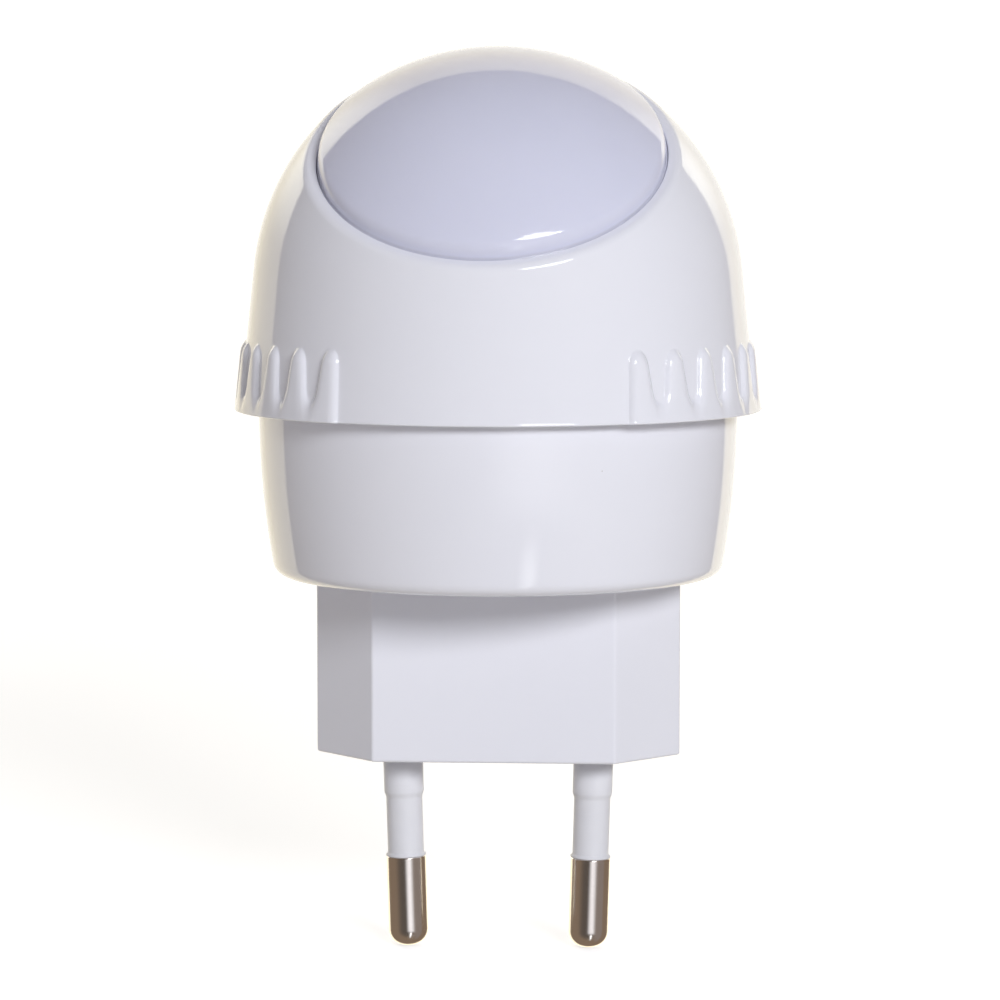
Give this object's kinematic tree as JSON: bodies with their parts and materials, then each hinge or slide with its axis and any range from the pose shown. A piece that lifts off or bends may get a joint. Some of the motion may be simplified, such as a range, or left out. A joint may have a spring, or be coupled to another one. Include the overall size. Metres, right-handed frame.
{
  "type": "sensor night light",
  "caption": "Plug-in night light: a glossy white dome with a tilted milky lens and grip ribs, which swivels on a bowl-shaped base with round plug pins.",
  "frame": {"origin": "centre of the plug's engagement face, midway between the pins", "axes": "+Z from the plug to the dome along the swivel axis, -Y to the front, where the lens faces, X across the pins"},
  "size_m": [0.051, 0.0498, 0.0874],
  "materials": {
    "shell_white": "glossy white moulding",
    "lens_opal": "milky, glossy",
    "sleeve_white": "satin white insulation",
    "pin_nickel": "nickel plate",
    "contact_brass": "bare stamped strip",
    "board_green": "solder mask",
    "led_board_white": "white solder mask",
    "led_phosphor": "phosphor gel",
    "film_yellow": "moulded box",
    "can_black": "shrink sleeve",
    "chip_black": "moulded package",
    "resistor_tan": "lacquer",
    "screw_steel": "zinc plate",
    "window_smoke": "smoky tint",
    "sensor_clear": "clear resin",
    "wire_insulation": "insulated lead"
  },
  "bodies": {
    "base": {"lower_housing": "shell_white", "plug_body": "shell_white", "plug_screws": "screw_steel", "pin_left": "pin_nickel", "pin_right": "pin_nickel", "pin_sleeve_left": "sleeve_white", "pin_sleeve_right": "sleeve_white", "contact_strip_left": "contact_brass", "contact_strip_right": "contact_brass", "main_board": "board_green", "film_capacitor": "film_yellow", "electrolytic_capacitor": "can_black", "bridge_rectifier": "chip_black", "fusible_resistor": "resistor_tan", "bleed_resistors": "resistor_tan", "driver_transistor": "chip_black", "light_sensor": "sensor_clear", "sensor_window": "window_smoke", "inner_cover": "shell_white", "cover_screws": "screw_steel", "led_board": "led_board_white", "leds": "led_phosphor", "led_board_screws": "screw_steel", "led_wires": "wire_insulation"},
    "head": {"swivel_dome": "shell_white", "diffuser_lens": "lens_opal", "lens_retainer": "shell_white"}
  },
  "joints": [
    {"name": "head_swivel", "type": "hinge", "parent": "base", "child": "head", "pos_m": [0, 0, 0.0365], "axis": [0, 0, 1], "continuous": true}
  ]
}
